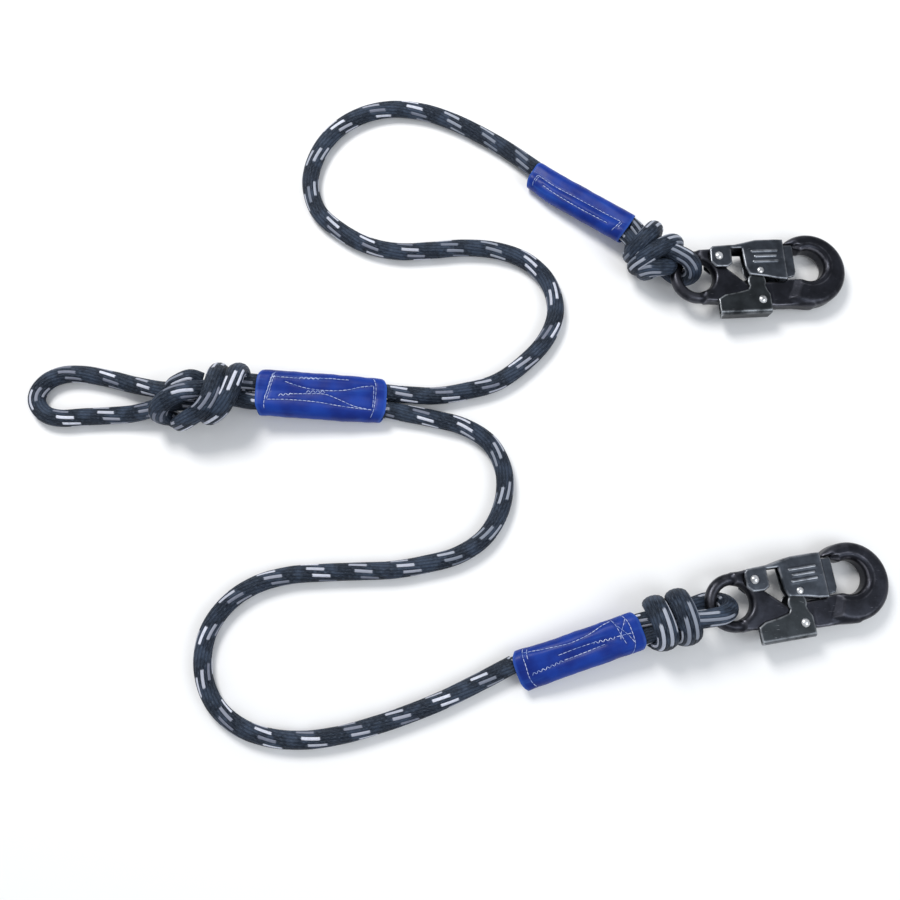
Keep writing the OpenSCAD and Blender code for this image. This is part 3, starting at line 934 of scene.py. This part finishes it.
def surface_nets(field, low, step):
    """Points and quads of the zero level of a field sampled on a grid."""
    cells = np.array(field.shape) - 1
    total = np.zeros((*cells, 3))
    count = np.zeros(cells)
    ahead = np.eye(3, dtype=int)
    for c in CORNERS:
        for axis in range(3):
            if c[axis]:
                continue
            a, b = block(field, c, cells), block(field, c + ahead[axis], cells)
            cut = (a < 0) != (b < 0)
            total += cut[..., None] * c
            total[..., axis] += np.where(cut, a / np.where(cut, a - b, 1), 0)
            count += cut
    used = count > 0
    number = np.full(cells, -1)
    number[used] = np.arange(used.sum())
    points = low + step * (np.argwhere(used) + total[used] / count[used][:, None])
    inside = field < 0
    faces = []
    for axis in range(3):
        w, u, v = ahead[axis], ahead[(axis + 1) % 3], ahead[(axis + 2) % 3]
        size = cells - 1 + w
        here, beyond = block(inside, u + v, size), block(inside, u + v + w, size)
        quad = np.stack([block(number, at, size) for at in (0 * w, u, u + v, v)], axis=-1)
        faces.append(quad[here & ~beyond])
        faces.append(quad[~here & beyond][:, ::-1])
    return points, np.vstack(faces)


def sample(grid, low, step, points):
    """Values of a grid at points between its nodes."""
    at = (points - low) / step
    base = np.clip(np.floor(at).astype(int), 0, np.array(grid.shape) - 2)
    f = at - base
    value = 0
    for c in CORNERS:
        weight = np.prod(np.abs(1 - c - f), axis=1)
        value = value + weight * grid[tuple((base + c).T)]
    return value


def carved_mesh(name, shape, low, high, step, keep):
    """A mesh of a solid given by its distance, in millimetres, thinned to a share of its
    faces, with an attribute that says where its edges are worn."""
    low, high = np.array(low, float), np.array(high, float)
    axes = [np.arange(low[k], high[k] + step, step) for k in range(3)]
    x, y = np.meshgrid(axes[0], axes[1], indexing="ij")
    field = shape(x[..., None], y[..., None], axes[2][None, None])
    points, faces = surface_nets(field, low, step)
    mesh = bpy.data.meshes.new(name)
    mesh.from_pydata((points * MM).tolist(), [], faces.tolist())
    mesh.update()
    holder = add_object(name + "_cut", mesh)
    add_modifier(holder, "thin", "DECIMATE", ratio=keep)
    graph = bpy.context.evaluated_depsgraph_get()
    made = bpy.data.meshes.new_from_object(holder.evaluated_get(graph))
    bpy.data.objects.remove(holder)
    bend = sum(np.gradient(np.gradient(field, step, axis=k), step, axis=k) for k in range(3))
    at = np.array([v.co for v in made.vertices]) / MM
    out = np.array([v.normal for v in made.vertices])
    sharp = sample(bend, low, step, at + out * step)
    write_attribute(made, "wear", np.clip((sharp - 0.12) / 0.5, 0, 1))
    made.polygons.foreach_set("use_smooth", [True] * len(made.polygons))
    return made


# ---- snap hook, in millimetres

GATE_PIN = (16, 13.5)
LEVER_PIN = (46.5, -22)
BODY_BORE = 2.05
SHEET_BORE = 2.1
RING_BAR = 4.25
RING_HOLE = 13.4
WEB_HALF = 5.0
BOW_CENTRE = (88, 1)
BOW_R = 28.5
BOW_START = 69.8
SEAT_CENTRE = (87.5, 4.5)
SEAT_R = 11.5
# The seat's rounded inside lies a little further out, and widens towards both faces
ROUNDED_CENTRE = (87.9, 4.5)
ROUNDED_R = 12.3
SEAT_EDGE = 5.0
PLATE_OUTLINE = [
    (3, 20.7), (14, 21.5), (22, 19), (23.8, 12.5), (23, 5), (42, -12.5), (48, -7.2),
    (87.5, -7), (87.5, -27.5), (58, -27.2), (40, -25), (16, -21.8), (3, -20.7),
]
MOUTH_TOP = 21.2
MOUTH_OUTLINE = [(50, MOUTH_TOP), (76.4, MOUTH_TOP), (77, 19), (84, 15.5), (84, -7), (50, -7)]
# The room that the gate's end sweeps, on both sides of a middle tongue
SWEEP_R = 61.7
SWEEP_START = 56.0
TONGUE_HALF = 5.05
POCKET_R = 6.0
POCKET_FLOOR = 0.8


def rounded_seat(x, y, z):
    near_face = np.clip(np.abs(z) - BOW_HALF + SEAT_EDGE, 0, SEAT_EDGE)
    wider = SEAT_EDGE - np.sqrt(np.clip(SEAT_EDGE ** 2 - near_face ** 2, 0, None))
    return circle_distance(x, y, ROUNDED_CENTRE, ROUNDED_R) - wider


def gate_sweep(x, y, z):
    over = np.abs(z) - TONGUE_HALF
    swept = (circle_distance(x, y, GATE_PIN, SWEEP_R) - 2 * over) / math.sqrt(5)
    swept = np.maximum(np.maximum(swept, y - MOUTH_TOP), -over)
    return np.maximum(swept, SWEEP_START - x)


def hook_body_shape(x, y, z):
    ring = np.hypot(np.hypot(x, y) - RING_R, z) - RING_BAR
    web = polygon_distance(x, y, PLATE_OUTLINE)
    web = np.maximum(web, -circle_distance(x, y, (0, 0), RING_HOLE))
    web = np.maximum(web, -circle_distance(x, y, SEAT_CENTRE, SEAT_R + 0.2))
    body = blend(ring, plate(web, z, WEB_HALF, 1.9), 3.2)
    bow = np.maximum(circle_distance(x, y, BOW_CENTRE, BOW_R), BOW_START - x)
    bow = np.maximum(bow, -circle_distance(x, y, SEAT_CENTRE, SEAT_R))
    bow = np.maximum(bow, -polygon_distance(x, y, MOUTH_OUTLINE))
    body = blend(body, plate(bow, z, BOW_HALF, 4.4), 4.5)
    body = carve(body, rounded_seat(x, y, z), 0.8)
    body = carve(body, gate_sweep(x, y, z), 0.5)
    for pin in (GATE_PIN, LEVER_PIN):
        pocket = np.maximum(circle_distance(x, y, pin, POCKET_R), POCKET_FLOOR - z)
        body = carve(body, pocket, 0.3)
        body = np.maximum(body, -circle_distance(x, y, pin, BODY_BORE))
    return body


# The gate is a folded channel with an ear over the hinge and a nose in the bow's mouth
HINGE_EAR = [
    (9, 9), (9.6, 19.5), (12, 21.8), (27.5, 22.3), (26.3, 18.8), (26.2, 7), (22, 4.5), (13, 4.8),
]
GATE_HALF = 8.8
GATE_INSIDE = 7.3
GATE_ROOF = 1.6
# The flange below is cut back further than the one above
UNDER_CUT = 4.7
GATE_TOP = [(30, 22.4), (46, 25.6), (62, 25.6), (68.3, 25.2)]
# Behind this the channel is open on top
GATE_BACK = 26.6
NOSE_PLATE = [(66.3, 20.5), (75.5, 20.5), (75.5, -1), (73.8, -4.6), (66.3, -6)]
NOSE_BLOCK = [(66.8, 14), (75.5, 14), (75.5, 20.5), (66.8, 20.5)]
NOSE_Z = 6.4
# Raised bars on the flanges: from x to x, and their y
GRIP_BARS = [(42.5, 62, 16.2), (44.5, 60.5, 12), (43, 61.5, 7.8)]
GRIP_HALF = 0.95


def gate_outline(cut):
    """Outline of one flange of the gate, its back edge moved by cut."""
    return [(16, 19.5), (16, 22)] + GATE_TOP + [
        (68.3, -7.5), (60, -6.5), (52, -4.6), (38 + cut, -2.4), (35.6 + cut, 4),
        (34.8 + cut, 19)]


def gate_shape(x, y, z):
    outline = np.where(z > 0, polygon_distance(x, y, gate_outline(0)),
                       polygon_distance(x, y, gate_outline(UNDER_CUT)))
    outline = np.minimum(outline, polygon_distance(x, y, HINGE_EAR))
    channel = plate(outline, z, GATE_HALF, 1.3)
    inside = np.abs(z) - GATE_INSIDE
    room = y - (np.interp(x, *zip((27, 22.3), *GATE_TOP)) - GATE_ROOF)
    room = np.where(x < GATE_BACK, np.minimum(room, -1), room)
    gate = np.maximum(channel, -np.maximum(room, inside))
    nose = np.maximum(polygon_distance(x, y, NOSE_PLATE), np.abs(np.abs(z) - NOSE_Z) - 1)
    block = np.maximum(polygon_distance(x, y, NOSE_BLOCK), inside)
    gate = blend(gate, np.minimum(nose, block), 0.4)
    for x0, x1, bar_y in GRIP_BARS:
        past_end = np.maximum(np.maximum(x0 - x, x - x1), 0)
        bar = np.hypot(past_end, y - bar_y) - GRIP_HALF
        gate = np.minimum(gate, plate(bar, np.abs(z) - GATE_HALF, 0.55, 0.4))
    return np.maximum(gate, -circle_distance(x, y, GATE_PIN, SHEET_BORE))


LEVER_BOTTOM = -32.6
LEVER_OUTLINE = [
    (12, -20), (17.6, -16.8), (28.4, -15.2), (36.2, -13.4), (37.8, -10.6),
    (50.2, -10.6), (51.5, -14.5), (53.5, -18), (53.5, LEVER_BOTTOM),
    (14, LEVER_BOTTOM), (12, -30.5),
]
LEVER_HEAD = (44, -7.5)
LEVER_HEAD_R = 7.2
LEVER_HALF = 6.9
LEVER_INSIDE = 5.4
LEVER_FLOOR = 1.5
FOLD_R = 3.2
# The folded lever's end is cut at a slant, further back on the underside
LEVER_START = 12.0
LEVER_SLANT = 0.33


def lever_shape(x, y, z):
    outline = np.minimum(polygon_distance(x, y, LEVER_OUTLINE),
                         circle_distance(x, y, LEVER_HEAD, LEVER_HEAD_R))
    lever = plate(outline, z, LEVER_HALF, 1.1)
    below = LEVER_BOTTOM + FOLD_R - y
    aside = np.abs(z) - LEVER_HALF + FOLD_R
    fold = np.hypot(np.maximum(below, 0), np.maximum(aside, 0)) - FOLD_R
    lever = np.maximum(lever, np.where((below > 0) & (aside > 0), fold, -5))
    room = np.maximum(LEVER_BOTTOM + LEVER_FLOOR - y, np.abs(z) - LEVER_INSIDE)
    lever = np.maximum(lever, -room)
    lever = np.maximum(lever, LEVER_START - x + LEVER_SLANT * (LEVER_HALF - z))
    return np.maximum(lever, -circle_distance(x, y, LEVER_PIN, SHEET_BORE))


WIRE_R = 0.6
COIL_R = 3.7
COIL_STEPS = 20
COIL_TURNS = 2.4
COIL_RISE = 2.76
WIRE_END = 1.6


def spring_line(pin):
    """A torsion spring's line round a pin, with a short straight length at each end."""
    steps = int(COIL_TURNS * COIL_STEPS)
    low = POCKET_FLOOR + WIRE_R + 0.15
    coil = []
    for i in range(steps + 1):
        angle = 2 * math.pi * i / COIL_STEPS + 0.4
        coil.append(Vector((pin[0] + COIL_R * math.cos(angle),
                            pin[1] + COIL_R * math.sin(angle),
                            low + i / steps * COIL_RISE)))
    lead = coil[0] + (coil[0] - coil[1]).normalized() * WIRE_END
    trail = coil[-1] + (coil[-1] - coil[-2]).normalized() * WIRE_END
    return [lead] + coil + [trail]


def make_spring(which, name, pin):
    line = smooth_path(places(hook_frame(which), spring_line(pin)), 0.45 * MM)
    points, faces = plain_tube(line, [WIRE_R * MM] * len(line), 10)
    mesh_piece(f"wire_{name}_{which}", points, faces, "hook_" + which, WIRE,
               f"{name}_spring_{which}")


# The small domed rivet near the gate's lower edge: radius, and height above the flange
SLOT_RIVET = (47, 0.7)
RIVET_PROFILE = [(0.01, 1.15), (1.1, 1.0), (2.0, 0.7), (2.7, 0.1), (2.7, -0.4)]
RIVET_SIDES = 24


def make_slot_rivet(which):
    """One rivet with a head on each side of the gate."""
    points, faces = [], []
    for side in (1, -1):
        head = []
        for radius, height in RIVET_PROFILE:
            for i in range(RIVET_SIDES):
                angle = -side * 2 * math.pi * i / RIVET_SIDES
                head.append((SLOT_RIVET[0] + radius * math.cos(angle),
                             SLOT_RIVET[1] + radius * math.sin(angle),
                             side * (GATE_HALF + height)))
        append_shape(points, faces, head, tube_faces(len(RIVET_PROFILE), RIVET_SIDES))
    placed = places(hook_frame(which), points)
    mesh_piece("gate_rivet_" + which, placed, faces, "gate_" + which, RIVET)


def make_hooks():
    forging = carved_mesh("forging", hook_body_shape, (-23, -31, -9.2), (118.5, 31, 9.2),
                          step=0.7, keep=0.5)
    gate = carved_mesh("gate_steel", gate_shape, (5.5, -9.5, -10.4), (77.5, 27.5, 10.4),
                       step=0.5, keep=0.32)
    lever = carved_mesh("lever_steel", lever_shape, (10, -34.2, -8.2), (54, -1.5, 8.2),
                        step=0.5, keep=0.32)
    parts = [
        ("forged_hook_", forging, "hook_", "forged_steel", FORGED, "hook_body_"),
        ("folded_gate_", gate, "gate_", "gate_steel", GATE_STEEL, "gate_"),
        ("folded_lever_", lever, "lever_", "lever_steel", LEVER_STEEL, "lock_lever_"),
    ]
    for which in "ab":
        for name, mesh, body, slot, material, node in parts:
            copy = mesh.copy()
            copy.name = name + which
            copy.transform(hook_frame(which))
            copy.materials.append(material)
            add_piece(name + which, copy, body + which, node + which)
        make_slot_rivet(which)
        make_spring(which, "gate", GATE_PIN)
        make_spring(which, "lever", LEVER_PIN)
        for pin in ("gate_pin_", "lever_pin_"):
            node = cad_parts[pin + which]
            node.data.materials.clear()
            node.data.materials.append(RIVET)


# ---- build

SHEET_GRAIN = (1, 8, 1)
ROPE = rope_material()
VINYL = sleeve_material()
THREAD = thread_material()
FORGED = steel_material("forged_steel", (0.014, 0.015, 0.02), (0.26, 0.26, 0.3), 0.34, 0.6)
GATE_STEEL = steel_material("gate_sheet", (0.032, 0.037, 0.046), (0.38, 0.4, 0.44), 0.36,
                            0.7, SHEET_GRAIN, 0.15)
LEVER_STEEL = steel_material("lever_sheet", (0.02, 0.023, 0.026), (0.4, 0.42, 0.45), 0.38,
                             0.8, SHEET_GRAIN, 0.15)
RIVET = bright_material("rivet_steel", (0.72, 0.73, 0.75), 0.28)
WIRE = bright_material("spring_wire", (0.5, 0.51, 0.53), 0.32)

make_camera()
make_leg("a", LEG_A_ROUTE, 0.1)
make_leg("b", LEG_B_ROUTE, 0.6)
make_fork()
make_waist_loop()
make_knots()
for key in "ab":
    make_strands(key)
    make_eye(key)
make_sleeve("centre")
for key in "ab":
    make_sleeve(key)
make_hooks()
make_stage()
